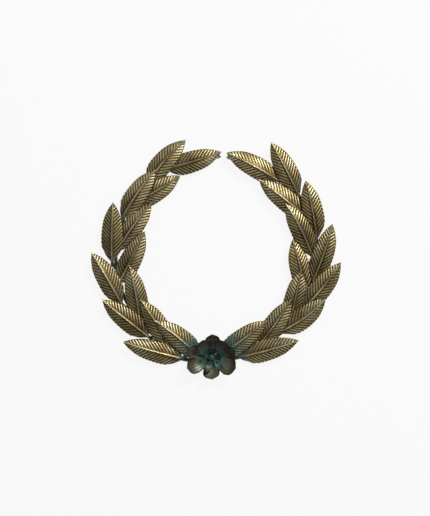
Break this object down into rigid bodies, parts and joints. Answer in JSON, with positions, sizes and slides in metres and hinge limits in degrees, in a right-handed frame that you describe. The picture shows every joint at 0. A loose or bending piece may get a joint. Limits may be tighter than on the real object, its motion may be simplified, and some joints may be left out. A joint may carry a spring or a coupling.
{
  "type": "laurel wreath insignia",
  "caption": "Open laurel wreath of veined sheet-brass leaves on two bent stem rods, with a layered flower at the foot and small tie rings at the open ends.",
  "frame": {"origin": "under the middle of the wreath's overall box, on the plane that its back lies on", "axes": "+Z out of the wreath's face, +Y from the flower towards the open ends, +X towards the right-hand branch as seen from the face"},
  "size_m": [0.224, 0.2151, 0.0213],
  "materials": {
    "leaf_brass": "aged antique brass, worn bright on the ribs",
    "stem_brass": "dark brass with blue-green verdigris",
    "flower_bronze": "dark aged bronze with verdigris in the hollows",
    "ring_brass": "worn brass",
    "fixing_brass": "dull aged brass"
  },
  "bodies": {
    "wreath": {"back_petal_1": "flower_bronze", "back_petal_2": "flower_bronze", "back_petal_3": "flower_bronze", "flower_boss": "fixing_brass", "flower_bud": "flower_bronze", "flower_nut": "fixing_brass", "flower_screw": "fixing_brass", "front_petal_1": "flower_bronze", "front_petal_2": "flower_bronze", "front_petal_3": "flower_bronze", "front_petal_4": "flower_bronze", "front_petal_5": "flower_bronze", "inner_petal_1": "flower_bronze", "inner_petal_2": "flower_bronze", "inner_petal_3": "flower_bronze", "inner_petal_4": "flower_bronze", "inner_petal_5": "flower_bronze", "joining_plate": "fixing_brass", "left_end_eye": "ring_brass", "left_leaf_01": "leaf_brass", "left_leaf_02": "leaf_brass", "left_leaf_03": "leaf_brass", "left_leaf_04": "leaf_brass", "left_leaf_05": "leaf_brass", "left_leaf_06": "leaf_brass", "left_leaf_07": "leaf_brass", "left_leaf_08": "leaf_brass", "left_leaf_09": "leaf_brass", "left_leaf_10": "leaf_brass", "left_leaf_11": "leaf_brass", "left_leaf_12": "leaf_brass", "left_leaf_13": "leaf_brass", "left_leaf_stalks": "stem_brass", "left_stem": "stem_brass", "right_end_eye": "ring_brass", "right_leaf_01": "leaf_brass", "right_leaf_02": "leaf_brass", "right_leaf_03": "leaf_brass", "right_leaf_04": "leaf_brass", "right_leaf_05": "leaf_brass", "right_leaf_06": "leaf_brass", "right_leaf_07": "leaf_brass", "right_leaf_08": "leaf_brass", "right_leaf_09": "leaf_brass", "right_leaf_10": "leaf_brass", "right_leaf_11": "leaf_brass", "right_leaf_12": "leaf_brass", "right_leaf_13": "leaf_brass", "right_leaf_stalks": "stem_brass", "right_stem": "stem_brass"},
    "left_tie_ring": {"left_tie_ring": "ring_brass"},
    "right_tie_ring": {"right_tie_ring": "ring_brass"}
  },
  "joints": [
    {"name": "left_tie_ring_swing", "type": "hinge", "parent": "wreath", "child": "left_tie_ring", "pos_m": [0.00189, 0.09298, 0.0016], "axis": [0, 0, 1], "range_deg": [-120, 120]},
    {"name": "right_tie_ring_swing", "type": "hinge", "parent": "wreath", "child": "right_tie_ring", "pos_m": [0.01197, 0.0922, 0.0016], "axis": [0, 0, 1], "range_deg": [-120, 120]}
  ]
}
